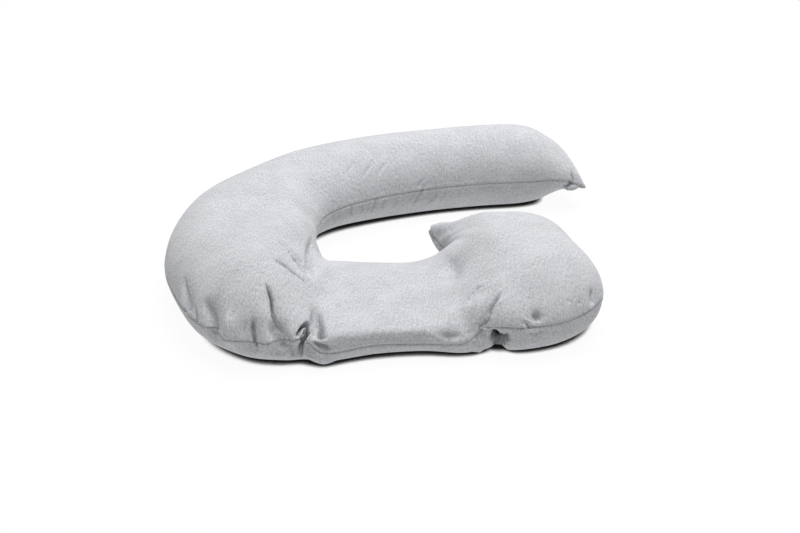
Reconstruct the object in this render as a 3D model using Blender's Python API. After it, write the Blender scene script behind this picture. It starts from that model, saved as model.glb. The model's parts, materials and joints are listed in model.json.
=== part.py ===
"""A G-shaped body pillow: a long filled arm, a wide bend, a slack flat run and a square head end.

Two panels of jersey, cut alike, meet in one seam that runs right round the outline. The bead
filling has been pushed into the arm, the bend and the head, so the run between the bend and
the head lies slack. The pillow is one closed solid, in metres, +Z up, lying on the floor at Z 0.
"""

from collections import namedtuple

import bpy
import numpy as np

# The two panels are worked out across the pillow, from the outer seam to the inner seam.
STEPS_ACROSS = 24
# The lower panel lies flat on the floor.
FLOOR_Z = 0.0
# How far in from the seam of each free end the top is still rising.
END_SHOULDER = 0.135
# How square the sides of the lower panel are, as the squares below.
UNDER_SQUARE = 2.4
# Folds die away over this distance from the seam.
SEAM_HOLD = 0.012

# A row for each section, from the free end of the arm round to the end of the head.
# outer and inner are the section's two points on the seam, and crown the height of its top.
# The shoulders are how far in from each seam the top is still rising, the unders how far in the
# lower panel first lies on the floor. The squares are how square the shoulders are: 2 for a
# quarter of an ellipse, 1 for a straight slope. steps is how many rings of points the solid has
# before the next section.
Section = namedtuple(
    "Section",
    "outer_x outer_y outer_z inner_x inner_y inner_z crown"
    " outer_shoulder inner_shoulder outer_under inner_under outer_square inner_square steps",
)
SECTIONS = [
    Section(0.515, 0.575, 0.085, 0.585, 0.362, 0.070, 0.188, 0.130, 0.130, 0.08, 0.28, 2.00, 2.00, 6),
    Section(0.460, 0.602, 0.105, 0.505, 0.345, 0.105, 0.197, 0.140, 0.140, 0.08, 0.22, 2.00, 2.00, 2),
    Section(0.370, 0.617, 0.105, 0.400, 0.336, 0.105, 0.221, 0.140, 0.140, 0.08, 0.10, 2.00, 2.00, 2),
    Section(0.240, 0.603, 0.105, 0.260, 0.322, 0.105, 0.225, 0.140, 0.140, 0.08, 0.08, 2.00, 2.00, 2),
    Section(0.090, 0.578, 0.105, 0.130, 0.296, 0.105, 0.222, 0.140, 0.140, 0.08, 0.08, 2.00, 2.00, 2),
    Section(-0.060, 0.545, 0.105, 0.010, 0.257, 0.105, 0.220, 0.140, 0.140, 0.08, 0.09, 2.00, 2.00, 2),
    Section(-0.215, 0.500, 0.105, -0.090, 0.212, 0.105, 0.213, 0.140, 0.140, 0.08, 0.11, 2.00, 2.00, 3),
    Section(-0.360, 0.422, 0.105, -0.165, 0.165, 0.105, 0.210, 0.140, 0.140, 0.08, 0.14, 2.00, 2.00, 3),
    Section(-0.487, 0.302, 0.100, -0.213, 0.118, 0.100, 0.207, 0.140, 0.140, 0.08, 0.16, 2.00, 2.00, 3),
    Section(-0.597, 0.157, 0.095, -0.232, 0.072, 0.095, 0.205, 0.140, 0.140, 0.08, 0.18, 2.00, 2.00, 3),
    Section(-0.640, 0.005, 0.092, -0.238, 0.035, 0.092, 0.200, 0.140, 0.140, 0.10, 0.15, 2.00, 2.00, 4),
    Section(-0.636, -0.160, 0.090, -0.236, 0.000, 0.090, 0.198, 0.150, 0.140, 0.14, 0.12, 2.00, 2.00, 4),
    Section(-0.584, -0.305, 0.090, -0.234, -0.022, 0.086, 0.203, 0.170, 0.150, 0.20, 0.10, 1.70, 1.70, 4),
    Section(-0.510, -0.430, 0.092, -0.225, -0.040, 0.074, 0.208, 0.175, 0.190, 0.12, 0.08, 1.65, 1.35, 5),
    Section(-0.398, -0.506, 0.086, -0.215, -0.053, 0.060, 0.200, 0.170, 0.250, 0.08, 0.06, 1.65, 1.20, 7),
    Section(-0.297, -0.516, 0.080, -0.200, -0.059, 0.051, 0.152, 0.130, 0.260, 0.06, 0.05, 1.70, 1.20, 8),
    Section(-0.236, -0.498, 0.082, -0.180, -0.065, 0.047, 0.112, 0.080, 0.180, 0.05, 0.05, 2.20, 1.50, 8),
    Section(-0.182, -0.504, 0.047, -0.158, -0.071, 0.045, 0.094, 0.036, 0.140, 0.05, 0.05, 2.60, 2.00, 3),
    Section(-0.060, -0.475, 0.051, -0.055, -0.077, 0.048, 0.092, 0.027, 0.140, 0.05, 0.05, 2.60, 2.00, 2),
    Section(0.060, -0.462, 0.046, 0.030, -0.072, 0.046, 0.092, 0.028, 0.140, 0.05, 0.05, 2.60, 2.00, 3),
    Section(0.165, -0.464, 0.050, 0.087, -0.057, 0.050, 0.103, 0.036, 0.140, 0.04, 0.05, 2.40, 2.00, 6),
    Section(0.226, -0.446, 0.083, 0.121, -0.041, 0.055, 0.130, 0.070, 0.140, 0.04, 0.05, 2.00, 2.00, 8),
    Section(0.320, -0.455, 0.089, 0.135, -0.024, 0.057, 0.162, 0.160, 0.160, 0.05, 0.06, 1.70, 1.60, 6),
    Section(0.425, -0.430, 0.094, 0.131, -0.012, 0.060, 0.186, 0.180, 0.180, 0.07, 0.07, 1.70, 1.50, 4),
    Section(0.502, -0.370, 0.100, 0.123, 0.001, 0.064, 0.195, 0.170, 0.190, 0.08, 0.08, 1.80, 1.35, 3),
    Section(0.533, -0.280, 0.092, 0.114, 0.012, 0.069, 0.196, 0.140, 0.185, 0.08, 0.08, 2.00, 1.30, 3),
    Section(0.502, -0.145, 0.090, 0.106, 0.027, 0.074, 0.193, 0.140, 0.175, 0.08, 0.08, 2.00, 1.30, 3),
    Section(0.462, -0.016, 0.094, 0.092, 0.043, 0.080, 0.186, 0.140, 0.150, 0.08, 0.08, 2.00, 1.40, 6),
    Section(0.390, 0.058, 0.095, 0.084, 0.062, 0.085, 0.176, 0.140, 0.120, 0.08, 0.08, 2.00, 1.60, 0),
]

# A row for each main fold of a panel, from start over middle to end in plan. reach is half its
# width, and press is how deep it is pressed in, less than 0 where it stands proud.
Fold = namedtuple("Fold", "panel start_x start_y middle_x middle_y end_x end_y reach press")
FOLDS = [
    # the tuck between the bend and the slack run, and the valley to its right
    Fold("upper", -0.222, -0.380, -0.232, -0.440, -0.262, -0.475, 0.017, 0.028),
    Fold("upper", -0.224, -0.290, -0.214, -0.420, -0.208, -0.500, 0.016, 0.011),
    Fold("lower", -0.240, -0.480, -0.238, -0.450, -0.236, -0.420, 0.012, 0.016),
    # pulled from the inner corner of the bend across its top
    Fold("upper", -0.345, -0.145, -0.285, -0.220, -0.228, -0.280, 0.022, 0.009),
    Fold("upper", -0.360, -0.230, -0.303, -0.276, -0.230, -0.325, 0.022, 0.007),
    Fold("upper", -0.240, -0.090, -0.242, -0.170, -0.236, -0.260, 0.018, 0.008),
    # down the front of the bend
    Fold("upper", -0.356, -0.330, -0.334, -0.410, -0.290, -0.515, 0.020, 0.015),
    Fold("upper", -0.364, -0.430, -0.364, -0.480, -0.352, -0.520, 0.017, 0.008),
    Fold("upper", -0.440, -0.370, -0.447, -0.430, -0.454, -0.490, 0.024, -0.009),
    Fold("upper", -0.512, -0.350, -0.516, -0.395, -0.518, -0.440, 0.020, 0.008),
    # the pinch between the slack run and the head
    Fold("upper", 0.268, -0.330, 0.226, -0.390, 0.214, -0.460, 0.022, 0.018),
    Fold("upper", 0.250, -0.270, 0.195, -0.320, 0.150, -0.395, 0.028, -0.008),
    Fold("lower", 0.256, -0.465, 0.250, -0.430, 0.240, -0.380, 0.015, 0.040),
    Fold("upper", 0.112, -0.090, 0.128, -0.180, 0.120, -0.270, 0.035, 0.010),
    # where the cloth stands proud: under the slack run's start, at its lobe beside the pinch,
    # under the tip of the arm, and at the inner corner of the head's end
    Fold("lower", -0.239, -0.479, -0.207, -0.476, -0.144, -0.471, 0.016, -0.009),
    Fold("lower", 0.207, -0.436, 0.197, -0.408, 0.189, -0.371, 0.014, -0.008),
    Fold("lower", 0.506, 0.356, 0.530, 0.356, 0.562, 0.359, 0.014, -0.012),
    Fold("upper", 0.090, 0.059, 0.108, 0.057, 0.150, 0.052, 0.018, -0.011),
    # small ones at the front seam
    Fold("upper", 0.305, -0.440, 0.330, -0.434, 0.356, -0.442, 0.022, 0.012),
    Fold("upper", 0.480, -0.310, 0.494, -0.345, 0.498, -0.375, 0.018, 0.009),
]
# Points along a fold from which its reach is measured.
FOLD_STEPS = 24


def curve_through(values, at):
    """The smooth curve through evenly numbered values, read at the section numbers in at."""
    values = np.asarray(values, float)
    before = 2 * values[0] - values[1]
    after = 2 * values[-1] - values[-2]
    padded = np.concatenate([[before], values, [after]])
    span = np.minimum(np.floor(at).astype(int), len(values) - 2)
    f = (at - span)[:, None]
    p0, p1, p2, p3 = (padded[span + k] for k in range(4))
    return 0.5 * (
        2 * p1 + (p2 - p0) * f + (2 * p0 - 5 * p1 + 4 * p2 - p3) * f**2 + (3 * p1 - p0 - 3 * p2 + p3) * f**3
    )


def ring_numbers():
    """Section numbers of the rings of points, closer together in the rounded ends."""
    numbers = [0.0]
    last = len(SECTIONS) - 2
    for i, row in enumerate(SECTIONS[:-1]):
        part = np.arange(1, row.steps + 1) / row.steps
        if i == 0:
            part = 1 - np.cos(part * np.pi / 2)
        if i == last:
            part = np.sin(part * np.pi / 2)
        numbers += list(i + part)
    return np.array(numbers)


def swell(distance, reach, square=2.0):
    """0 at a seam, 1 from reach inwards, rising as a quarter of an ellipse, or of a squarer curve."""
    part = np.clip(distance / reach, 0, 1)
    return np.maximum(0, 1 - (1 - part) ** square) ** (1 / square)


def run_lengths(plan):
    """How far each point is from the arm's end and from the head's end, along the pillow."""
    step = np.linalg.norm(np.diff(plan, axis=0), axis=2)
    from_start = np.vstack([np.zeros(step.shape[1]), np.cumsum(step, axis=0)])
    return from_start, from_start[-1] - from_start


def outward(points, upward):
    """Unit normals of a panel, out of the pillow."""
    along = np.gradient(points, axis=0)
    across = np.gradient(points, axis=1)
    normal = np.cross(along, across) * (1 if upward else -1)
    return normal / np.maximum(np.linalg.norm(normal, axis=2, keepdims=True), 1e-9)


def fold_line(fold):
    """Points in plan along a fold, and its strength there: 0 at both ends, 1 in the middle half."""
    t = np.linspace(0, 1, FOLD_STEPS)[:, None]
    start = np.array([fold.start_x, fold.start_y])
    middle = np.array([fold.middle_x, fold.middle_y])
    end = np.array([fold.end_x, fold.end_y])
    pull = 2 * middle - (start + end) / 2
    line = (1 - t) ** 2 * start + 2 * t * (1 - t) * pull + t**2 * end
    return line, np.clip(4 * np.minimum(t, 1 - t), 0, 1).ravel()


def folded(points, upward, hold):
    """The panel with its folds pressed in."""
    depth = np.zeros(points.shape[:2])
    for fold in FOLDS:
        if (fold.panel == "upper") != upward:
            continue
        line, strength = fold_line(fold)
        away = np.linalg.norm(points[:, :, None, :2] - line, axis=3)
        nearest = away.argmin(axis=2)
        depth += fold.press * strength[nearest] * np.exp(-((away.min(axis=2) / fold.reach) ** 2))
    moved = points - outward(points, upward) * (depth * hold)[:, :, None]
    moved[:, :, 2] = np.maximum(moved[:, :, 2], FLOOR_Z)
    return moved


def panels():
    """Points of the upper and the lower panel, each as rings by points across by X, Y, Z."""
    table = curve_through(SECTIONS, ring_numbers())
    ring = Section(*(column[:, None] for column in table.T))
    across = (1 - np.cos(np.linspace(0, np.pi, STEPS_ACROSS + 1))) / 2
    x = ring.outer_x + (ring.inner_x - ring.outer_x) * across
    y = ring.outer_y + (ring.inner_y - ring.outer_y) * across
    seam = ring.outer_z + (ring.inner_z - ring.outer_z) * across
    width = np.hypot(ring.inner_x - ring.outer_x, ring.inner_y - ring.outer_y)
    from_outer, from_inner = width * across, width * (1 - across)
    from_arm_end, from_head_end = run_lengths(np.stack([x, y], axis=2))
    from_end = np.minimum(from_arm_end, from_head_end)
    rise = (
        swell(from_outer, ring.outer_shoulder, ring.outer_square)
        * swell(from_inner, ring.inner_shoulder, ring.inner_square)
        * swell(from_end, END_SHOULDER)
    )
    fall = (
        swell(from_outer, ring.outer_under, UNDER_SQUARE)
        * swell(from_inner, ring.inner_under, UNDER_SQUARE)
        * swell(from_end, ring.inner_under)
    )
    upper = np.stack([x, y, seam + (ring.crown - seam) * rise], axis=2)
    lower = np.stack([x, y, seam + (FLOOR_Z - seam) * fall], axis=2)
    from_seam = np.minimum(np.minimum(from_outer, from_inner), from_end)
    hold = np.clip(from_seam / SEAM_HOLD, 0, 1)
    return folded(upper, True, hold), folded(lower, False, hold)


def closed_mesh(name, upper, lower):
    """One closed mesh of the two panels, which share their points along the seam."""
    rings, columns = upper.shape[:2]
    upper_index = np.arange(rings * columns).reshape(rings, columns)
    lower_index = upper_index.copy()
    inside = np.zeros((rings, columns), bool)
    inside[1:-1, 1:-1] = True
    lower_index[inside] = rings * columns + np.arange(inside.sum())
    points = np.vstack([upper.reshape(-1, 3), lower[inside]])
    faces = []
    for index, turn in ((upper_index, -1), (lower_index, 1)):
        corners = np.stack([index[:-1, :-1], index[:-1, 1:], index[1:, 1:], index[1:, :-1]], axis=2)
        faces += corners.reshape(-1, 4)[:, ::turn].tolist()
    mesh = bpy.data.meshes.new(name)
    mesh.from_pydata(points.tolist(), [], faces)
    mesh.validate()
    return mesh


def jersey():
    """Pale grey melange jersey."""
    material = bpy.data.materials.new("jersey")
    material.use_nodes = True
    shader = material.node_tree.nodes["Principled BSDF"]
    shader.inputs["Base Color"].default_value = (0.56, 0.57, 0.59, 1)
    shader.inputs["Roughness"].default_value = 0.95
    return material


def build_pillow(collection):
    upper, lower = panels()
    outline = upper[:, :, :2].reshape(-1, 2)
    middle = (outline.min(axis=0) + outline.max(axis=0)) / 2
    upper[:, :, :2] -= middle
    lower[:, :, :2] -= middle
    mesh = closed_mesh("pillow", upper, lower)
    mesh.materials.append(jersey())
    mesh.shade_smooth()
    pillow = bpy.data.objects.new("pillow", mesh)
    collection.objects.link(pillow)
    return pillow


def main():
    for old in list(bpy.data.objects):
        bpy.data.objects.remove(old)
    collection = bpy.data.collections.new("body_pillow")
    bpy.context.scene.collection.children.link(collection)
    build_pillow(collection)


main()
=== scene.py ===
"""How the G-shaped body pillow looks: its grey melange jersey, seam, folds, creases and puckers.

The cover is one closed mesh, lofted finely from a table of sections, in metres. Its folds, creases
and puckers are pressed into it where they were seen on the photo.
"""

import json
from collections import namedtuple
from types import SimpleNamespace

import bmesh
import bpy
import numpy as np
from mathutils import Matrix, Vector

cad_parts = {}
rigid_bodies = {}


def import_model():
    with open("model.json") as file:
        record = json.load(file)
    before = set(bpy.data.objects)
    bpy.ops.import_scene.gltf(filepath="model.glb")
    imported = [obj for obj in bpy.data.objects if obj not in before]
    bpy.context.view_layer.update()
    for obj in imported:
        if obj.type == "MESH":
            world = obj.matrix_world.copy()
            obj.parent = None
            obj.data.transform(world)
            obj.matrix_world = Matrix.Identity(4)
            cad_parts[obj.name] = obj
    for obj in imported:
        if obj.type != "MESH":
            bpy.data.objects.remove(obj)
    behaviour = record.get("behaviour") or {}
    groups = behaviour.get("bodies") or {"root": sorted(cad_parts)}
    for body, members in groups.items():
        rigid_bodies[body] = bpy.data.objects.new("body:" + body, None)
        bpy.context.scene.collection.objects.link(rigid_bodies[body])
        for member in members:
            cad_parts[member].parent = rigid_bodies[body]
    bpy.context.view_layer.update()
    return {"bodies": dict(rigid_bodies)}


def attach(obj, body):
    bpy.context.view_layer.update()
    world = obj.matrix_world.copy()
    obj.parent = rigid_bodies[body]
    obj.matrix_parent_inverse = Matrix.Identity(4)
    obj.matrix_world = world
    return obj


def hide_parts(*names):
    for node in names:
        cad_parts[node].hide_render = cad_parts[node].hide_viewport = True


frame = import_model()

# ---------------------------------------------------------------- the camera

# It looks at this spot on the floor, in metres, from this far off and at this slant.
CAMERA_TARGET = Vector((0.032, -0.0515, 0))
CAMERA_DISTANCE = 3.2
CAMERA_ELEVATION = np.radians(30.5)
# In millimetres.
LENS = 50
SENSOR_WIDTH = 36
# The photo's own camera, for reading what it saw at a pixel: the spot on the floor that it looked
# at, in metres, and the photo's middle and the length of the lens, both in the photo's pixels.
PHOTO_TARGET = np.array([0.03197, -0.05145, 0])
PHOTO_MIDDLE = (400.0, 266.5)
PHOTO_LENS = 1111.1
# Unit vectors of both cameras, and where they stand from their target.
RIGHTWARDS = np.array([1, 0, 0])
UPWARDS = np.array([0, np.sin(CAMERA_ELEVATION), np.cos(CAMERA_ELEVATION)])
FORWARDS = np.array([0, np.cos(CAMERA_ELEVATION), -np.sin(CAMERA_ELEVATION)])
CAMERA_PLACE = -CAMERA_DISTANCE * FORWARDS

# ---------------------------------------------------------------- the cover's sizes, in metres

# The lower panel lies flat on the floor.
FLOOR_Z = 0.0
# How far in from the seam of each free end the top is still rising.
END_SHOULDER = 0.135
# How square the lower panel's sides are.
UNDER_SQUARE = 2.4
# Distances from the seam of the first points beside it, where its groove is.
BESIDE_SEAM = (0.0, 0.0012, 0.0026, 0.0046, 0.0078, 0.0125)
# The largest share of a short row that those points may take up at each of its ends.
BESIDE_SHARE = 0.3
# Points across each panel between those, and the longest step from ring to ring, before the
# mesh is made finer at the creases.
STEPS_ACROSS = 46
RING_STEP = 0.0078
# Points of the dense sections from which the rings are taken.
DENSE_ACROSS = 240
DENSE_STEPS = 60

# A row for each section, from the free end of the arm round to the end of the head.
# outer and inner are the section's two points on the seam, and crown the height of its top. The
# shoulders are how far in from each seam the top is still rising, the unders how far in the lower
# panel first lies on the floor. The squares are how square the shoulders are: 2 for a quarter of
# an ellipse, 1 for a straight slope, over 2 for a squarer one.
Section = namedtuple(
    "Section",
    "outer_x outer_y outer_z inner_x inner_y inner_z crown"
    " outer_shoulder inner_shoulder outer_under inner_under outer_square inner_square",
)
SECTIONS = [
    Section(0.515, 0.575, 0.085, 0.585, 0.362, 0.070, 0.188, 0.130, 0.130, 0.08, 0.28, 2.00, 2.00),
    Section(0.460, 0.602, 0.105, 0.505, 0.345, 0.105, 0.197, 0.140, 0.140, 0.10, 0.22, 2.00, 1.75),
    Section(0.370, 0.617, 0.105, 0.400, 0.336, 0.105, 0.221, 0.140, 0.140, 0.10, 0.10, 2.00, 1.75),
    Section(0.240, 0.603, 0.105, 0.260, 0.322, 0.105, 0.225, 0.140, 0.140, 0.10, 0.08, 2.00, 1.75),
    Section(0.090, 0.578, 0.105, 0.130, 0.296, 0.105, 0.222, 0.140, 0.140, 0.10, 0.08, 2.00, 1.75),
    Section(-0.060, 0.545, 0.105, 0.010, 0.257, 0.105, 0.220, 0.140, 0.140, 0.10, 0.09, 2.00, 1.75),
    Section(-0.215, 0.500, 0.105, -0.090, 0.212, 0.105, 0.213, 0.140, 0.140, 0.10, 0.11, 2.00, 1.75),
    Section(-0.360, 0.422, 0.105, -0.165, 0.165, 0.105, 0.210, 0.140, 0.140, 0.10, 0.14, 2.00, 1.75),
    Section(-0.487, 0.302, 0.100, -0.213, 0.118, 0.100, 0.207, 0.140, 0.140, 0.10, 0.16, 2.00, 1.75),
    Section(-0.597, 0.157, 0.095, -0.232, 0.072, 0.095, 0.205, 0.140, 0.140, 0.08, 0.18, 2.00, 2.00),
    Section(-0.640, 0.005, 0.092, -0.238, 0.035, 0.092, 0.200, 0.140, 0.140, 0.10, 0.15, 2.00, 2.00),
    Section(-0.636, -0.160, 0.090, -0.236, 0.000, 0.090, 0.198, 0.150, 0.140, 0.14, 0.12, 2.00, 2.00),
    Section(-0.584, -0.305, 0.090, -0.234, -0.022, 0.086, 0.203, 0.170, 0.150, 0.17, 0.10, 1.70, 1.70),
    Section(-0.510, -0.430, 0.092, -0.225, -0.040, 0.074, 0.208, 0.175, 0.190, 0.14, 0.08, 1.50, 1.35),
    Section(-0.398, -0.506, 0.086, -0.215, -0.053, 0.060, 0.200, 0.170, 0.250, 0.12, 0.06, 1.50, 1.20),
    Section(-0.297, -0.516, 0.080, -0.200, -0.059, 0.051, 0.152, 0.130, 0.260, 0.09, 0.05, 1.70, 1.20),
    Section(-0.236, -0.498, 0.082, -0.180, -0.065, 0.047, 0.112, 0.080, 0.180, 0.05, 0.05, 2.20, 1.50),
    Section(-0.182, -0.504, 0.047, -0.158, -0.071, 0.045, 0.094, 0.036, 0.140, 0.06, 0.05, 3.60, 2.00),
    Section(-0.060, -0.475, 0.051, -0.055, -0.077, 0.048, 0.089, 0.033, 0.140, 0.07, 0.05, 4.40, 2.00),
    Section(0.060, -0.462, 0.046, 0.030, -0.072, 0.046, 0.087, 0.033, 0.140, 0.08, 0.05, 4.40, 2.00),
    Section(0.165, -0.464, 0.050, 0.087, -0.057, 0.050, 0.103, 0.085, 0.140, 0.05, 0.05, 1.35, 2.00),
    Section(0.226, -0.446, 0.083, 0.121, -0.041, 0.055, 0.130, 0.070, 0.140, 0.04, 0.05, 2.00, 2.00),
    Section(0.320, -0.455, 0.089, 0.135, -0.024, 0.057, 0.162, 0.160, 0.160, 0.05, 0.06, 1.70, 1.60),
    Section(0.425, -0.430, 0.094, 0.131, -0.012, 0.060, 0.186, 0.180, 0.180, 0.07, 0.07, 1.70, 1.50),
    Section(0.502, -0.370, 0.100, 0.123, 0.001, 0.064, 0.195, 0.170, 0.190, 0.08, 0.08, 1.80, 1.35),
    Section(0.533, -0.280, 0.092, 0.114, 0.012, 0.069, 0.196, 0.140, 0.185, 0.08, 0.08, 2.00, 1.30),
    Section(0.502, -0.145, 0.090, 0.106, 0.027, 0.074, 0.193, 0.140, 0.175, 0.08, 0.08, 2.00, 1.30),
    Section(0.462, -0.016, 0.094, 0.092, 0.043, 0.080, 0.186, 0.140, 0.150, 0.08, 0.08, 2.00, 1.40),
    Section(0.390, 0.058, 0.095, 0.084, 0.062, 0.085, 0.176, 0.140, 0.120, 0.08, 0.08, 2.00, 1.60),
]


def curve_through(values, at):
    """The smooth curve through evenly numbered values, read at the section numbers in at."""
    values = np.asarray(values, float)
    before = 2 * values[0] - values[1]
    after = 2 * values[-1] - values[-2]
    padded = np.concatenate([[before], values, [after]])
    span = np.minimum(np.floor(at).astype(int), len(values) - 2)
    f = (at - span)[:, None]
    p0, p1, p2, p3 = (padded[span + k] for k in range(4))
    return 0.5 * (
        2 * p1 + (p2 - p0) * f + (2 * p0 - 5 * p1 + 4 * p2 - p3) * f**2 + (3 * p1 - p0 - 3 * p2 + p3) * f**3
    )


def swell(distance, reach, square=2.0):
    """0 at a seam, 1 from reach inwards, rising as a quarter of an ellipse, or of a squarer curve."""
    part = np.clip(distance / reach, 0, 1)
    return np.maximum(0, 1 - (1 - part) ** square) ** (1 / square)


def dense_numbers():
    """Section numbers close together, and closest at the free ends, where the cover turns down."""
    part = np.arange(DENSE_STEPS + 1) / DENSE_STEPS
    first = 1 - np.cos(part * np.pi / 2)
    last = len(SECTIONS) - 2 + np.sin(part * np.pi / 2)
    between = np.linspace(1, len(SECTIONS) - 2, DENSE_STEPS * (len(SECTIONS) - 3) + 1)
    return np.concatenate([first, between[1:-1], last])


def panels(numbers):
    """Points of the upper and the lower panel, each as rings by points across by X, Y, Z."""
    table = curve_through(SECTIONS, numbers)
    ring = Section(*(column[:, None] for column in table.T))
    across = (1 - np.cos(np.linspace(0, np.pi, DENSE_ACROSS + 1))) / 2
    x = ring.outer_x + (ring.inner_x - ring.outer_x) * across
    y = ring.outer_y + (ring.inner_y - ring.outer_y) * across
    seam = ring.outer_z + (ring.inner_z - ring.outer_z) * across
    width = np.hypot(ring.inner_x - ring.outer_x, ring.inner_y - ring.outer_y)
    from_outer, from_inner = width * across, width * (1 - across)
    step = np.hypot(np.diff(x, axis=0), np.diff(y, axis=0))
    run = np.vstack([np.zeros(step.shape[1]), np.cumsum(step, axis=0)])
    from_end = np.minimum(run, run[-1] - run)
    rise = swell(from_outer, ring.outer_shoulder, ring.outer_square)
    rise *= swell(from_inner, ring.inner_shoulder, ring.inner_square)
    fall = swell(from_outer, ring.outer_under, UNDER_SQUARE)
    fall *= swell(from_inner, ring.inner_under, UNDER_SQUARE)
    rise *= swell(from_end, END_SHOULDER)
    fall *= swell(from_end, ring.inner_under)
    upper = np.stack([x, y, seam + (ring.crown - seam) * rise], axis=2)
    lower = np.stack([x, y, seam + (FLOOR_Z - seam) * fall], axis=2)
    return upper, lower


def lengths(points):
    """How far along each row of points each of them is."""
    step = np.linalg.norm(np.diff(points, axis=1), axis=2)
    return np.hstack([np.zeros((len(points), 1)), np.cumsum(step, axis=1)])


def ring_numbers():
    """Section numbers of the rings, no more than RING_STEP apart anywhere on them."""
    numbers = dense_numbers()
    upper, _ = panels(numbers)
    lines = upper[:, [0, DENSE_ACROSS // 2, DENSE_ACROSS]]
    step = np.linalg.norm(np.diff(lines, axis=0), axis=2).max(axis=1)
    run = np.concatenate([[0], np.cumsum(step)])
    beside = np.array(BESIDE_SEAM)
    count = int(np.ceil((run[-1] - 2 * beside[-1]) / RING_STEP))
    middle = np.linspace(beside[-1], run[-1] - beside[-1], count + 1)[1:-1]
    at = np.concatenate([beside, middle, run[-1] - beside[::-1]])
    return np.interp(at, run, numbers)


def taken_across(panel):
    """The panel with its rings' points at set distances from the seams and evenly between them."""
    run = lengths(panel)
    beside = np.array(BESIDE_SEAM)
    part = np.linspace(0, 1, STEPS_ACROSS + 1)[1:-1]
    taken = np.empty((len(panel), 2 * len(beside) + len(part), 3))
    for i, row in enumerate(run):
        near = beside * min(1.0, BESIDE_SHARE * row[-1] / beside[-1])
        middle = near[-1] + (row[-1] - 2 * near[-1]) * part
        at = np.concatenate([near, middle, row[-1] - near[::-1]])
        for k in range(3):
            taken[i, :, k] = np.interp(at, row, panel[i, :, k])
    return taken


# What each point of the cover knows of its place on the cloth: its distances from the four
# seams, how far along the outer and the inner edge it is, and the section number. The distances
# are in metres.
PLACE = ("from_outer", "from_inner", "from_arm_end", "from_head_end", "outer_run", "inner_run", "number")
# The cloth's own coordinates, in metres, as each panel was cut flat: its wales run along the
# second. They bow sideways by WALE_BOW times its square, and by WALE_TURN more for each metre of
# the first, so that they lie as slanted as in the photo.
CLOTH_MAP = "cloth"
WALE_BOW = 0.5
WALE_TURN = 0.35


def placed(panel, numbers):
    """The PLACE of each point of a panel."""
    across = lengths(panel)
    along = lengths(panel.transpose(1, 0, 2)).T
    outer_run, inner_run = along[:, :1] + 0 * across, along[:, -1:] + 0 * across
    number = numbers[:, None] + 0 * across
    from_ends = (along, along[-1:] - along)
    return np.stack([across, across[:, -1:] - across, *from_ends, outer_run, inner_run, number], axis=2)


def cut_flat(panel, across):
    """Where each point of a panel was before it was filled, when the panel lay flat."""
    outer, inner = panel[:, :1, :2], panel[:, -1:, :2]
    inwards = (inner - outer) / np.linalg.norm(inner - outer, axis=2, keepdims=True)
    from_middle = across - across[:, -1:] / 2
    flat = (outer + inner) / 2 + inwards * from_middle[:, :, None]
    flat[:, :, 0] -= (WALE_BOW + WALE_TURN * flat[:, :, 0]) * flat[:, :, 1] ** 2
    return flat


def made_cover():
    """The bare cover: its closed mesh, its rings' section numbers, and both panels' points in rings."""
    numbers = ring_numbers()
    upper, lower = (taken_across(panel) for panel in panels(numbers))
    rings, columns = upper.shape[:2]
    inside = np.zeros((rings, columns), bool)
    inside[1:-1, 1:-1] = True
    upper_grid = np.arange(rings * columns).reshape(rings, columns)
    lower_grid = upper_grid.copy()
    lower_grid[inside] = rings * columns + np.arange(inside.sum())
    place = [placed(panel, numbers) for panel in (upper, lower)]
    faces, cloth = [], []
    for grid, panel, own, turn in ((upper_grid, upper, place[0], -1), (lower_grid, lower, place[1], 1)):
        for values, corners_of in ((grid[:, :, None], faces), (cut_flat(panel, own[:, :, 0]), cloth)):
            corners = np.stack([values[:-1, :-1], values[:-1, 1:], values[1:, 1:], values[1:, :-1]], axis=2)
            corners_of.append(corners.reshape(-1, 4, values.shape[2])[:, ::turn])
    points = np.concatenate([upper.reshape(-1, 3), lower[inside]])
    points[:, :2] -= (points[:, :2].min(axis=0) + points[:, :2].max(axis=0)) / 2
    mesh = bpy.data.meshes.new("cover")
    mesh.from_pydata(points.tolist(), [], np.concatenate(faces)[:, :, 0].tolist())
    mesh.uv_layers.new(name=CLOTH_MAP).data.foreach_set("uv", np.concatenate(cloth).ravel())
    values = np.concatenate([place[0].reshape(rings * columns, -1), place[1][inside]])
    for k, name in enumerate(PLACE):
        mesh.attributes.new(name, "FLOAT", "POINT").data.foreach_set("value", values[:, k])
    return SimpleNamespace(mesh=mesh, numbers=numbers, upper_grid=upper_grid, lower_grid=lower_grid)


def points_of(mesh):
    points = np.empty(3 * len(mesh.vertices), np.float32)
    mesh.vertices.foreach_get("co", points)
    return points.reshape(-1, 3).astype(float)


def move_to(mesh, points):
    mesh.vertices.foreach_set("co", points.astype(np.float32).ravel())
    mesh.update()


def normals(mesh):
    """Unit normals at the points, out of the pillow."""
    values = np.empty(3 * len(mesh.vertices), np.float32)
    mesh.vertex_normals.foreach_get("vector", values)
    return values.reshape(-1, 3).astype(float)


def place_of(mesh, name):
    values = np.empty(len(mesh.vertices), np.float32)
    mesh.attributes[name].data.foreach_get("value", values)
    return values.astype(float)


def from_seam(mesh):
    """How far each point is from the nearest seam."""
    return np.min([place_of(mesh, name) for name in PLACE[:4]], axis=0)


# ---------------------------------------------------------------- folds and creases

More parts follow.
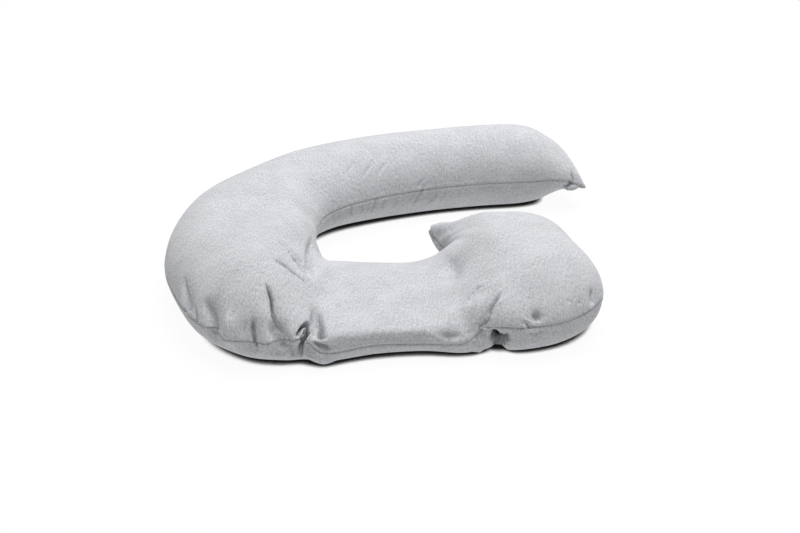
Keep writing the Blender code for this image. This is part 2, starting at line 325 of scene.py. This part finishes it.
# A row for each fold or crease. photo has the spots that it runs through, as picked on the photo in
# pixels, and cloth any places that it runs through after those, which the photo doesn't show: on
# each a section number and how many millimetres in from the edge's seam it is on the upper panel,
# or less than 0 for as many on the lower panel. half_width and depth are the valley's, also in
# millimetres, with a depth less than 0 for a ridge. left and right are how high the cloth rolls up
# beside it, looking along it, and lean is how far its left side is drawn over it. fade_in and
# fade_out are the shares of its length over which it starts and ends.
Crease = namedtuple(
    "Crease",
    "edge photo half_width depth left right lean fade_in fade_out cloth",
    defaults=(0, 0, 0, 0.35, 0.35, ()),
)
# The main folds, most of which the solid has too.
FOLDS = [
    # the tuck between the bend and the slack run, and the valley to its right
    Crease("outer", ((310, 318), (304, 335), (299, 350)), 9, 6),
    Crease("outer", ((316, 298), (315, 322), (314, 342)), 14, 6),
    # pulled from the inner corner of the bend across its top, and the corner itself
    Crease("inner", ((275, 237), (298, 262), (311, 279)), 20, 5),
    Crease("inner", ((266, 255), (286, 266), (312, 291)), 18, 4),
    Crease("inner", ((312, 238), (309.5, 256), (311, 270), (313, 285)), 16, 11),
    Crease("inner", ((325, 262), (321, 266), (315, 273)), 9, 4, 0, 0, 0, 0.05, 0.5),
    # down the front of the bend
    Crease(
        "outer",
        ((264, 281), (271, 304), (278, 326), (281, 341), (282, 350)),
        18, 9, 0, 0, 0, 0.35, 0.1,
    ),
    Crease("outer", ((254, 312), (255.6, 334), (258, 351)), 14, 9),
    Crease("outer", ((230, 312), (229.5, 326), (228, 338), (227, 345)), 18, -10, 0, 0, 0, 0.35, 0.25),
    Crease("outer", ((217, 290), (212, 312), (212, 330), (216, 343)), 18, 11),
    Crease("outer", ((184, 272), (186, 292), (188, 305), (188.5, 313)), 16, 13, 0, 0, 0, 0.35, 0.15),
    # the pinch between the slack run and the head
    Crease(
        "outer",
        ((503, 287), (489, 307), (484, 321), (480.5, 333), (478, 341)),
        14, 17, 0, 0, 0, 0.4, 0.1,
    ),
    Crease("outer", ((488, 279), (474, 292), (464, 306)), 14, -5),
    Crease("outer", ((486, 284), (474, 296), (466, 310)), 10, 5),
    Crease("outer", (), 12, -8, 0, 0, 0, 0.35, 0.35, ((20.75, -20), (20.70, -60), (20.70, -110))),
    Crease("inner", ((448, 256), (452, 270), (447, 288)), 34, 9),
    Crease("inner", (), 18, -11, 0, 0, 0, 0.2, 0.4, ((27.85, 6), (27.8, 30), (27.7, 85))),
    Crease("inner", ((562, 188), (570, 186.5), (580, 187)), 10, -14),
    Crease("inner", (), 26, -6, 0, 0, 0, 0.15, 0.15, ((8, -24), (6, -24), (4, -24), (2, -24))),
    Crease("outer", (), 16, -9, 0, 0, 0, 0.4, 0.3, ((15.6, -30), (16.5, -34), (17.3, -32))),
    Crease("outer", ((491, 331), (495, 336), (498, 341)), 12, 8, 0, 0, 0, 0.3, 0.1),
    # small ones at the front seam
    Crease("outer", ((531, 311), (537, 315), (546, 319)), 14, 7),
    Crease("outer", ((593, 287), (592.5, 297), (592, 307)), 13, 6),
]
# The slits of the tuck, the opening under the pinch and its lip, flat between steep sides.
SLITS = [
    # round the lip inside the tuck, and down to its right
    Crease(
        "outer",
        ((310.3, 322.6), (306, 325.6), (302, 329.6), (299.4, 334), (298, 339)),
        4.6, 65, 0, 0, 2, 0.12, 0.2,
    ),
    Crease(
        "outer",
        (
            (311, 322.8), (309.8, 328), (307, 333), (304.6, 338.5),
            (302.6, 343.5), (300.3, 349), (298.8, 357),
        ),
        5.2, 75, 0, 0, 0, 0.05, 0.1,
    ),
    # the opening under the pinch between the slack run and the head
    Crease("outer", ((499.5, 334.5), (500, 338.5), (500.3, 343)), 15, 110, 0, 0, 0, 0.3, 0.3),
    Crease("outer", ((500, 344),), 17, 16, 0, 0, 0, 0.4, 0.3, ((21.38, -75), (21.42, -120), (21.45, -150))),
    Crease("outer", ((424, 332), (432, 336), (440, 340), (448, 342.5)), 9, -7, 0, 0, 0, 0.3, 0.4),
]
CREASES = [
    # the lip and the wall on the right
    Crease(
        "outer",
        (
            (308, 327), (305.2, 329.3), (303.2, 334.9), (301.3, 340.6),
            (298.5, 345), (296.5, 351), (293.5, 355.5),
        ),
        2.2, -4, 0, 0, 0, 0.1, 0.2,
    ),
    Crease(
        "outer",
        (
            (312.3, 321.5), (312.7, 327), (311, 333.5), (308, 339.5),
            (304.8, 344.5), (303.3, 350), (305.5, 355.5),
        ),
        3.5, -5, 0, 0, 0, 0.2, 0.2,
    ),
    # the narrow valley to its right, the thin ridge beside it and the shade past that
    Crease(
        "outer",
        ((314, 307), (314.3, 316), (314, 324), (313.3, 332), (313, 341)),
        5.0, 22, 0, 0, 0, 0.6, 0.2,
    ),
    Crease("outer", ((316.3, 311), (317, 320), (317, 330), (317, 340)), 3.0, -5, 0, 0, 0, 0.3, 0.3),
    Crease(
        "outer",
        ((317.5, 305), (318.2, 315), (319, 325), (320, 334), (321.5, 341)),
        9.5, 52, 0, 0, 0, 0.7, 0.15,
    ),
    # the shoulder of the slack run, steepest at its top
    Crease("outer", ((316, 344), (323, 346), (332, 346), (345, 344)), 4.5, 4, 1, 0, 0, 0.1, 0.4),
    Crease("outer", ((440, 333.5), (446, 336), (451, 337), (457, 335.5), (461, 332)), 8, 8, 0, 3),
    # the hollow under the seam, and the bend's end left of the tuck
    Crease(
        "outer",
        ((312, 341), (316, 344.5), (322, 346.5), (328, 348.5), (334, 350)),
        5, 14, 0, 0, 0, 0.2, 0.4,
    ),
    Crease("outer", ((304, 350), (311, 353.5), (320, 356.5), (330, 358)), 8, -8, 0, 0, 0, 0.3, 0.3),
    Crease(
        "outer",
        ((284.5, 333), (289, 340), (291.5, 346), (292.8, 352), (293.5, 357)),
        5.5, 9, 3, 0, 0, 0.4, 0.1,
    ),
    Crease("outer", ((271, 318), (276, 330), (281, 343), (287, 354)), 14, 13, 0, 0, 0, 0.35, 0.2),
    # down the front of the bend
    Crease(
        "outer",
        (
            (264, 281), (267, 288), (270.3, 297), (272.3, 306),
            (273.6, 314), (276.5, 323), (280.5, 331), (285, 337),
        ),
        3.6, 20, 1, 0, 2, 0.3, 0.5,
    ),
    Crease(
        "outer",
        ((268, 312), (272, 326), (276, 340), (277.5, 348), (279, 355)),
        20, 13, 0, 0, 0, 0.35, 0.1,
    ),
    Crease(
        "outer",
        ((252.6, 316), (253, 327), (253.6, 336), (255, 344), (257.8, 351)),
        4.5, 18, 3, 0, 2, 0.3, 0.2,
    ),
    Crease("outer", ((244, 318), (246, 330), (248, 343), (250, 352)), 13, 9, 0, 0, 0, 0.35, 0.1),
    Crease("outer", ((229, 306), (228, 316), (227.5, 326), (226, 342)), 8, -5, 0, 0, 0, 0.4, 0.2),
    Crease(
        "outer",
        ((205, 296), (207, 306), (210, 318), (212, 330), (213, 340)),
        10, 15, 0, 0, 0, 0.3, 0.2,
    ),
    Crease("outer", ((183.8, 274), (184, 284), (185, 294), (186.2, 303)), 5, 5, 2),
    Crease("outer", ((190, 278), (189, 290), (190, 302)), 5, -3),
    Crease("outer", ((194.5, 304), (195.5, 312), (196.5, 320), (198, 327)), 4.5, 8, 2),
    # pulled from the inner corner of the bend
    Crease(
        "inner",
        ((275, 237.5), (283, 245), (291, 253.5), (298.2, 262.5), (305, 271), (311, 279)),
        4.2, 13, 0, 3, 0, 0.3, 0.3,
    ),
    Crease("inner", ((281, 238), (289, 247), (297, 257), (304.5, 268)), 4.5, 3, 0, 2),
    Crease(
        "inner",
        ((266, 255), (276, 260), (286, 266), (296, 273.5), (304, 280.5), (312, 291.5)),
        3.6, 7, 0, 2, 0, 0.4, 0.3,
    ),
    Crease("inner", ((294, 252), (301, 261), (306, 269), (310, 276)), 6.0, 9, 0, 2),
    Crease(
        "inner",
        ((312, 234), (311.5, 244), (310, 256), (310.5, 268), (313, 282)),
        9.0, 16, 0, 3, 0, 0.4, 0.4,
    ),
    Crease("inner", ((262, 231), (272, 229), (283, 228.5), (295, 226)), 14, 4),
    Crease("inner", ((243, 197), (256, 195), (270, 193.5), (283, 193)), 16, 4),
    # soft slanting wrinkles of the arm above its near seam
    Crease("inner", ((345.5, 179), (346.5, 172), (351.5, 166), (355, 160), (360, 153)), 5, 2.2, 0.8, 0.8),
    Crease("inner", ((361, 181), (365, 173), (370, 166), (373, 160), (378, 153)), 5, 2.4, 0.8, 0.8),
    Crease("inner", ((375.5, 179), (379, 172), (383.5, 166), (389.5, 160)), 5, 2.2, 0.8, 0.8),
    Crease("inner", ((397, 179), (396.5, 171), (399, 164)), 5, 2.0, 0.8, 0.8),
    Crease("inner", ((417, 189), (420, 183), (424, 177)), 4.5, 2.4, 0.8, 0.8),
    Crease("inner", ((570.5, 170), (572.5, 176), (573, 181), (573, 187)), 3.2, 8),
    Crease("inner", ((575.5, 170), (577, 177), (577.5, 184)), 3.2, -5, 0, 0, 0, 0.35, 0.2),
    Crease("inner", ((572.5, 181.5), (568, 185), (560, 188.5)), 6, 14, 0, 0, 0, 0.2, 0.35),
    # small pleats square to the near seam, on the arm's lower panel
    Crease("inner", ((352, 205), (350, 210), (349, 216)), 4, 4.5, 1.5, 1.5, 0, 0.3, 0.2),
    Crease("inner", ((363, 203), (361, 208), (360, 213)), 4, 4, 1.5, 1.5, 0, 0.3, 0.2),
    Crease("inner", ((378, 194.5), (374.3, 202), (371.7, 208), (370, 213)), 4, 5, 1.5, 1.5, 0, 0.3, 0.2),
    Crease("inner", ((386.5, 198), (382.5, 203), (381, 209)), 4, 4.5, 1.5, 1, 0, 0.3, 0.2),
    Crease("inner", ((397, 196.5), (394.3, 203), (393, 208)), 4, 4, 1.5, 1, 0, 0.3, 0.2),
    Crease(
        "inner",
        ((424.5, 184), (421.7, 191), (417, 197.5), (413.5, 203), (411, 207)),
        4, 5.5, 1.5, 1.5, 0, 0.3, 0.2,
    ),
    Crease("inner", ((437.5, 189), (434, 196), (430, 201), (427, 205)), 4, 5, 1.5, 1.5, 0, 0.3, 0.2),
    Crease("inner", ((446, 190), (443, 196), (440, 201)), 3.6, 3.5, 1, 1, 0, 0.3, 0.2),
    Crease("inner", ((460, 187.5), (457, 193), (454, 198)), 3.6, 2.5, 1, 1, 0, 0.3, 0.3),
    # the pinch between the slack run and the head
    Crease(
        "outer",
        (
            (502, 289), (498, 296.4), (493.6, 303.6), (490.3, 311),
            (489, 317.3), (486.5, 324.5), (484, 331), (481.5, 337),
        ),
        4.2, 20, 3, 0, 2, 0.3, 0.35,
    ),
    Crease("outer", ((488, 330), (486, 337), (483, 344)), 4, -3, 0, 0, 0, 0.3, 0.3),
    Crease("outer", ((488, 278), (473.6, 291.8), (468, 299)), 5, -2.5),
    Crease("outer", ((486, 283), (475, 295), (468, 307)), 6, 3.5),
    Crease(
        "outer",
        ((514.5, 291), (502.7, 300), (493.6, 306.4), (489.5, 316), (488, 327)),
        4, -2.5, 0, 0, 0, 0.35, 0.2,
    ),
    Crease("outer", ((490, 329.5), (493.5, 332.5), (496.5, 336), (498.5, 338.5)), 6, 20, 0, 0, 0, 0.3, 0.1),
    Crease("outer", ((505.5, 329), (508, 336), (510.5, 343)), 5.0, 5, 0, 0, 0, 0.3, 0.3),
    # the dimple over the head's front seam and the small tuck beside it
    Crease("outer", ((532, 314), (537, 317.3), (541, 321)), 8.0, 14, 0, 0, 0, 0.5, 0.5),
    Crease("outer", ((525.5, 323), (528, 326.5), (531, 327.5)), 3.2, 7, 0, 2.5, 0, 0.3, 0.3),
    Crease("outer", ((521.8, 313.6), (524.5, 319.5), (529, 321), (533, 324)), 3.0, -3, 0, 0, 0, 0.3, 0.3),
    Crease(
        "outer",
        ((522.7, 323.6), (526.4, 328.6), (534.5, 329.5), (538.5, 327)),
        3.0, -3, 0, 0, 0, 0.3, 0.3,
    ),
    Crease("outer", ((526.5, 331.5), (533, 334), (540, 332), (546, 328.8)), 5.0, 5, 2, 0, 0, 0.3, 0.3),
    # the head's far end of the front seam
    Crease("outer", ((592.8, 289), (592.4, 297), (592.1, 305)), 4.0, 6, 2),
    Crease("outer", ((566, 299.5), (569, 301), (572, 300.5)), 4.0, 2),
    Crease("outer", ((576.5, 302), (579.5, 303), (582.5, 302)), 4.0, 2),
    # inside corner of the head
    Crease("inner", ((443, 256), (449, 263), (453, 270), (451, 278), (446, 286)), 22, 6),
    Crease("inner", ((434.5, 238), (438, 243), (441.5, 248), (445, 251)), 4.0, 3),
]
# Steps along a crease from one of its places to the next.
CREASE_STEPS = 16
# In half widths: how far a crease reaches, and where the rolls beside it and its leaning rim are
# and how wide.
CREASE_REACH = 3.2
ROLL_PLACE = 1.9
ROLL_WIDTH = 0.9
RIM_PLACE = 1.4
RIM_WIDTH = 0.8
# How steep a fold's, a crease's and a slit's sides are: 2 for a round bottom, 1 for a sharp one,
# and more for a flat one between steep sides.
FOLD_SHAPE = 2.0
CREASE_SHAPE = 1.5
SLIT_SHAPE = 3.0
MILLIMETRE = 0.001
# How far off the cover the curve of a crease may run before it is laid onto it.
LAY_REACH = 0.03
# The mesh is halved once, twice or three times beside creases of no more than these half widths,
# in millimetres, as far off as FINER_REACH half widths, with no less than the last of these taken.
FINER_BELOW = (12.0, 6.0, 3.3)
FINER_REACH = 2.0
# How closely a spot on the photo is read: the decimals of its section number.
NUMBER_DECIMALS = 2
# How far outside a triangle a ray may pass and still meet it, as a share of its sides, and the
# least slant to it that is told from none.
TRIANGLE_SLACK = 1e-6
LEAST_SLANT = 1e-14

# The seam's groove: how deep and wide it is, and how high the cloth rolls up on both sides.
GROOVE_DEPTH = 0.0028
GROOVE_WIDTH = 0.0019
LIP_HEIGHT = 0.0012
LIP_PLACE = 0.0065
LIP_WIDTH = 0.0035


class Sight:
    """What the photo's camera saw of the bare cover."""

    def __init__(self, cover):
        corners = np.array([tuple(face.vertices) for face in cover.mesh.polygons])
        rings, columns = cover.upper_grid.shape
        is_upper = np.arange(len(corners)) < (rings - 1) * (columns - 1)
        self.is_upper = np.concatenate([is_upper, is_upper])
        self.triangles = np.concatenate([corners[:, [0, 1, 2]], corners[:, [0, 2, 3]]])
        self.place = {name: place_of(cover.mesh, name) for name in ("number", "from_outer", "from_inner")}
        self.points = points_of(cover.mesh) - PHOTO_TARGET
        away = self.points - CAMERA_PLACE
        across = PHOTO_LENS * (away @ RIGHTWARDS) / (away @ FORWARDS)
        down = -PHOTO_LENS * (away @ UPWARDS) / (away @ FORWARDS)
        on_photo = (np.stack([across, down], axis=1) + PHOTO_MIDDLE)[self.triangles]
        self.low, self.high = on_photo.min(axis=1), on_photo.max(axis=1)

    def place_at(self, pixel, edge):
        """The section number and the millimetres inwards at the first point that a pixel's ray meets."""
        near = np.flatnonzero(((self.low <= pixel) & (self.high >= pixel)).all(axis=1))
        first, second, third = (self.points[self.triangles[near, k]] for k in range(3))
        to_right, to_top = pixel[0] - PHOTO_MIDDLE[0], PHOTO_MIDDLE[1] - pixel[1]
        ray = FORWARDS + RIGHTWARDS * to_right / PHOTO_LENS + UPWARDS * to_top / PHOTO_LENS
        one_side, other_side = second - first, third - first
        beside_ray = np.cross(ray, other_side)
        slant = (one_side * beside_ray).sum(axis=1)
        slant = np.where(abs(slant) < LEAST_SLANT, LEAST_SLANT, slant)
        from_first = CAMERA_PLACE - first
        turned = np.cross(from_first, one_side)
        along_one = (from_first * beside_ray).sum(axis=1) / slant
        along_other = (ray * turned).sum(axis=1) / slant
        distance = (other_side * turned).sum(axis=1) / slant
        meets = (along_one >= -TRIANGLE_SLACK) & (along_other >= -TRIANGLE_SLACK) & (distance > 0)
        meets &= along_one + along_other <= 1 + TRIANGLE_SLACK
        hit = np.flatnonzero(meets)[distance[meets].argmin()]
        shares = np.array([1 - along_one[hit] - along_other[hit], along_one[hit], along_other[hit]])
        corners = self.triangles[near[hit]]
        number = round(float(shares @ self.place["number"][corners]), NUMBER_DECIMALS)
        inwards = float(shares @ self.place["from_" + edge][corners]) / MILLIMETRE
        return number, round(inwards if self.is_upper[near[hit]] else -inwards)

    def places(self, row):
        return [self.place_at(pixel, row.edge) for pixel in row.photo] + list(row.cloth)


def spot(cover, points, edge, number, inwards):
    """The cover's point at a section number, inwards from an edge's seam, or below it if less than 0."""
    grid = cover.upper_grid if inwards >= 0 else cover.lower_grid
    ring = np.clip(np.searchsorted(cover.numbers, number) - 1, 0, len(cover.numbers) - 2)
    share = (number - cover.numbers[ring]) / (cover.numbers[ring + 1] - cover.numbers[ring])
    ends = []
    for row in grid[ring : ring + 2]:
        row = row if edge == "outer" else row[::-1]
        run = lengths(points[None, row])[0]
        ends.append([np.interp(abs(inwards), run, points[row, k]) for k in range(3)])
    return (1 - share) * np.array(ends[0]) + share * np.array(ends[1])


def lines_of(cover, sight, rows):
    """Points along each crease: a smooth curve through its places, laid onto the cover."""
    points, outward = points_of(cover.mesh), normals(cover.mesh)
    lines = []
    for row in rows:
        places = sight.places(row)
        spots = [spot(cover, points, row.edge, number, inwards * MILLIMETRE) for number, inwards in places]
        line = curve_through(spots, np.linspace(0, len(spots) - 1, CREASE_STEPS * (len(spots) - 1) + 1))
        low, high = line.min(axis=0) - LAY_REACH, line.max(axis=0) + LAY_REACH
        near = np.flatnonzero(((points > low) & (points < high)).all(axis=1))
        away = line[:, None] - points[near]
        nearest = near[(away**2).sum(axis=2).argmin(axis=1)]
        height = ((line - points[nearest]) * outward[nearest]).sum(axis=1)
        lines.append(line - height[:, None] * outward[nearest])
    return lines


def smooth(part):
    part = np.clip(part, 0, 1)
    return part * part * (3 - 2 * part)


def crease_move(points, outward, line, row, shape):
    """How far one crease moves each point of the cover."""
    width = row.half_width * MILLIMETRE
    reach = CREASE_REACH * width
    low, high = line.min(axis=0) - reach, line.max(axis=0) + reach
    near = np.flatnonzero(((points > low) & (points < high)).all(axis=1))
    step = np.diff(line, axis=0)
    span = (step**2).sum(axis=1)
    from_line = points[near, None] - line[:-1]
    share = np.clip((from_line * step).sum(axis=2) / np.maximum(span, 1e-12), 0, 1)
    away = from_line - share[:, :, None] * step
    distance = np.linalg.norm(away, axis=2)
    nearest = distance.argmin(axis=1)
    pick = np.arange(len(near))
    place = (nearest + share[pick, nearest]) / len(step)
    leftwards = np.cross(outward[near], step[nearest])
    leftwards /= np.maximum(np.linalg.norm(leftwards, axis=1, keepdims=True), 1e-12)
    is_left = (leftwards * away[pick, nearest]).sum(axis=1) > 0
    at = distance[pick, nearest] / width
    strength = smooth(place / row.fade_in) * smooth((1 - place) / row.fade_out) * MILLIMETRE
    roll = np.where(is_left, row.left, row.right) * np.exp(-(((at - ROLL_PLACE) / ROLL_WIDTH) ** 2))
    depth = strength * (row.depth * np.exp(-(at**shape)) - roll)
    over = strength * row.lean * np.exp(-(((at - RIM_PLACE) / RIM_WIDTH) ** 2)) * is_left
    moves = np.zeros_like(points)
    moves[near] = -depth[:, None] * outward[near] - over[:, None] * leftwards
    return moves


def press_creases(mesh, lines, rows, shape, outward):
    points = points_of(mesh)
    moves = sum(crease_move(points, outward, line, row, shape) for line, row in zip(lines, rows))
    move_to(mesh, points + moves)


def press_seam(mesh):
    """The groove in which the two panels are sewn together."""
    distance = from_seam(mesh)
    groove = GROOVE_DEPTH * np.exp(-((distance / GROOVE_WIDTH) ** 2))
    lip = LIP_HEIGHT * np.exp(-(((distance - LIP_PLACE) / LIP_WIDTH) ** 2))
    move_to(mesh, points_of(mesh) - (groove - lip)[:, None] * normals(mesh))


def refine(mesh, lines, rows, times):
    """Halves the faces beside each crease narrow enough for that many times."""
    finer = bmesh.new()
    finer.from_mesh(mesh)
    finer.edges.ensure_lookup_table()
    finer.faces.ensure_lookup_table()
    centres = np.array([face.calc_center_median() for face in finer.faces])
    chosen = np.zeros(len(centres), bool)
    for line, row in zip(lines, rows):
        if row.half_width <= FINER_BELOW[times]:
            reach = FINER_REACH * max(row.half_width, FINER_BELOW[-1]) * MILLIMETRE
            low, high = line.min(axis=0) - reach, line.max(axis=0) + reach
            near = np.flatnonzero(((centres > low) & (centres < high)).all(axis=1))
            distance = np.linalg.norm(centres[near, None] - line, axis=2).min(axis=1)
            chosen[near[distance < reach]] = True
    edges = sorted({edge.index for index in np.flatnonzero(chosen) for edge in finer.faces[index].edges})
    halved = [finer.edges[index] for index in edges]
    bmesh.ops.subdivide_edges(finer, edges=halved, cuts=1, use_grid_fill=True)
    finer.to_mesh(mesh)
    finer.free()


# ---------------------------------------------------------------- material

# Linear colours of the melange's darkest and lightest yarn.
DARK_YARN = (0.310, 0.314, 0.326, 1)
LIGHT_YARN = (0.530, 0.538, 0.560, 1)
# Width and length of the yarn's streaks, the size of its flecks, of its soft clouds and of its nap.
STREAK = (0.0022, 0.0090)
FLECK = 0.0025
CLOUD = 0.055
NAP = 0.0011
# How much of the mixed tone comes from each of them, and where on it the two yarns' colours lie.
STREAK_SHARE = 0.55
FLECK_SHARE = 0.40
CLOUD_SHARE = 0.10
DARK_AT = 0.42
LIGHT_AT = 0.61
# The nap's share of the fine relief, and how strong and how high the relief is.
NAP_SHARE = 0.4
RELIEF_STRENGTH = 0.5
RELIEF_HEIGHT = 0.0008
JERSEY_SHINE = {
    "Roughness": 0.95,
    "Specular IOR Level": 0.15,
    "Sheen Weight": 0.2,
    "Sheen Roughness": 0.6,
}


class Nodes:
    """Adds shader nodes to a material and links them."""

    def __init__(self, material):
        material.use_nodes = True
        self.tree = material.node_tree
        self.shader = self.tree.nodes["Principled BSDF"]

    def add(self, kind, inputs=(), **settings):
        made = self.tree.nodes.new("ShaderNode" + kind)
        for name, value in settings.items():
            setattr(made, name, value)
        self.fill(made, dict(inputs))
        return made

    def fill(self, node, inputs):
        """Sets or links a node's inputs."""
        for name, value in inputs.items():
            if isinstance(value, bpy.types.NodeSocket):
                self.tree.links.new(value, node.inputs[name])
            else:
                node.inputs[name].default_value = value

    def noise(self, vector, detail):
        return self.add("TexNoise", {"Vector": vector, "Scale": 1, "Detail": detail}).outputs["Fac"]

    def maths(self, operation, first, second):
        return self.add("Math", {0: first, 1: second}, operation=operation).outputs[0]

    def scaled(self, vector, scale):
        return self.add("Mapping", {"Vector": vector, "Scale": scale}).outputs[0]


def jersey():
    """Grey melange jersey: streaks and flecks of lighter and darker yarn, and a soft nap."""
    material = bpy.data.materials.new("grey_melange_jersey")
    nodes = Nodes(material)
    cloth = nodes.add("UVMap", uv_map=CLOTH_MAP).outputs["UV"]
    space = nodes.add("TexCoord").outputs["Object"]
    streaks = nodes.noise(nodes.scaled(cloth, (1 / STREAK[0], 1 / STREAK[1], 1)), 2)
    flecks = nodes.noise(nodes.scaled(space, (1 / FLECK,) * 3), 2)
    clouds = nodes.noise(nodes.scaled(space, (1 / CLOUD,) * 3), 1)
    streaks = nodes.maths("MULTIPLY", streaks, STREAK_SHARE)
    yarn = nodes.maths("ADD", streaks, nodes.maths("MULTIPLY", flecks, FLECK_SHARE))
    mixed = nodes.maths("ADD", yarn, nodes.maths("MULTIPLY", clouds, CLOUD_SHARE))
    ramp = nodes.add("ValToRGB", {"Fac": mixed})
    dark, light = ramp.color_ramp.elements
    dark.position, dark.color = DARK_AT, DARK_YARN
    light.position, light.color = LIGHT_AT, LIGHT_YARN
    nap = nodes.noise(nodes.scaled(space, (1 / NAP,) * 3), 2)
    height = nodes.maths("ADD", yarn, nodes.maths("MULTIPLY", nap, NAP_SHARE))
    relief = {"Height": height, "Strength": RELIEF_STRENGTH, "Distance": RELIEF_HEIGHT}
    bump = nodes.add("Bump", relief)
    nodes.fill(nodes.shader, {"Base Color": ramp.outputs["Color"], "Normal": bump.outputs["Normal"]})
    nodes.fill(nodes.shader, JERSEY_SHINE)
    return material


# ---------------------------------------------------------------- pieces


def build_cover():
    cover = made_cover()
    mesh = cover.mesh
    sight = Sight(cover)
    press_creases(mesh, lines_of(cover, sight, FOLDS), FOLDS, FOLD_SHAPE, normals(mesh))
    slits, creases = lines_of(cover, sight, SLITS), lines_of(cover, sight, CREASES)
    for times in range(len(FINER_BELOW)):
        refine(mesh, slits + creases, SLITS + CREASES, times)
    outward = normals(mesh)
    press_creases(mesh, creases, CREASES, CREASE_SHAPE, outward)
    press_creases(mesh, slits, SLITS, SLIT_SHAPE, outward)
    press_seam(mesh)
    points = points_of(mesh)
    points[:, 2] = np.maximum(points[:, 2], FLOOR_Z)
    move_to(mesh, points)
    mesh.shade_smooth()
    mesh.materials.append(jersey())
    piece = bpy.data.objects.new("cover", mesh)
    bpy.context.scene.collection.objects.link(piece)
    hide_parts("pillow")
    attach(piece, "root" if "root" in frame["bodies"] else next(iter(frame["bodies"])))


# ---------------------------------------------------------------- floor, light, camera

WHITE = (1, 1, 1, 1)
# The floor glows white by its own emission over a nearly black base colour, and so lights the pillow from
# below.
# Its glow is dimmed into a painted contact shadow where the pillow is within PAINTED_SHADOW_REACH of it. It
# gives none of its glow where less than the first of OPEN_SHARES lies open, and all of it from the second.
FLOOR_SIZE = 40
FLOOR_BASE_UNDER_GLOW = (0.05, 0.05, 0.05, 1)
FLOOR_GLOW = 0.94
PAINTED_SHADOW_REACH = 0.030
OPEN_SHARES = (0.28, 0.48)
WORLD_STRENGTH = 0.28
# A row for each lamp: the sides of its panel, its power and where it hangs. All point at the middle.
Lamp = namedtuple("Lamp", "name width height power x y z")
LAMPS = [
    Lamp("softbox", 4.5, 4.5, 334, 0.6, 1.2, 4.2),
    Lamp("fill", 3.0, 2.0, 10, -0.3, -3.6, 1.9),
]


def glowing_floor_with_painted_shadow():
    material = bpy.data.materials.new("floor")
    nodes = Nodes(material)
    # Painted contact shadow: the floor's glow fades with ambient occlusion where the pillow lies close
    # above it.
    open_share = nodes.add("AmbientOcclusion", {"Distance": PAINTED_SHADOW_REACH}).outputs["AO"]
    limits = {"From Min": OPEN_SHARES[0], "From Max": OPEN_SHARES[1], "To Max": FLOOR_GLOW}
    glow = nodes.add("MapRange", {"Value": open_share, **limits}).outputs["Result"]
    nodes.fill(nodes.shader, {"Emission Strength": glow, "Emission Color": WHITE})
    nodes.fill(nodes.shader, {"Base Color": FLOOR_BASE_UNDER_GLOW, "Roughness": 1.0, "Specular IOR Level": 0.0})
    return material


def build_floor():
    bpy.ops.mesh.primitive_plane_add(size=FLOOR_SIZE, location=(0, 0, FLOOR_Z))
    floor = bpy.context.object
    floor.name = "floor"
    floor.data.materials.append(glowing_floor_with_painted_shadow())


def build_world():
    world = bpy.data.worlds.new("studio")
    bpy.context.scene.world = world
    world.use_nodes = True
    background = world.node_tree.nodes["Background"]
    background.inputs["Color"].default_value = WHITE
    background.inputs["Strength"].default_value = WORLD_STRENGTH


def build_lamp(row):
    light = bpy.data.lights.new(row.name, "AREA")
    light.shape = "RECTANGLE"
    light.size = row.width
    light.size_y = row.height
    light.energy = row.power
    lamp = bpy.data.objects.new(row.name, light)
    bpy.context.scene.collection.objects.link(lamp)
    lamp.location = (row.x, row.y, row.z)
    lamp.rotation_euler = (-lamp.location).to_track_quat("-Z", "Y").to_euler()


def build_camera():
    data = bpy.data.cameras.new("camera")
    data.lens = LENS
    data.sensor_width = SENSOR_WIDTH
    camera = bpy.data.objects.new("camera", data)
    bpy.context.scene.collection.objects.link(camera)
    back = -Vector(FORWARDS)
    camera.location = CAMERA_TARGET + CAMERA_DISTANCE * back
    camera.rotation_euler = (-back).to_track_quat("-Z", "Y").to_euler()
    bpy.context.scene.camera = camera


bpy.context.scene.view_settings.view_transform = "Standard"
build_camera()
build_cover()
build_floor()
build_world()
for lamp_row in LAMPS:
    build_lamp(lamp_row)
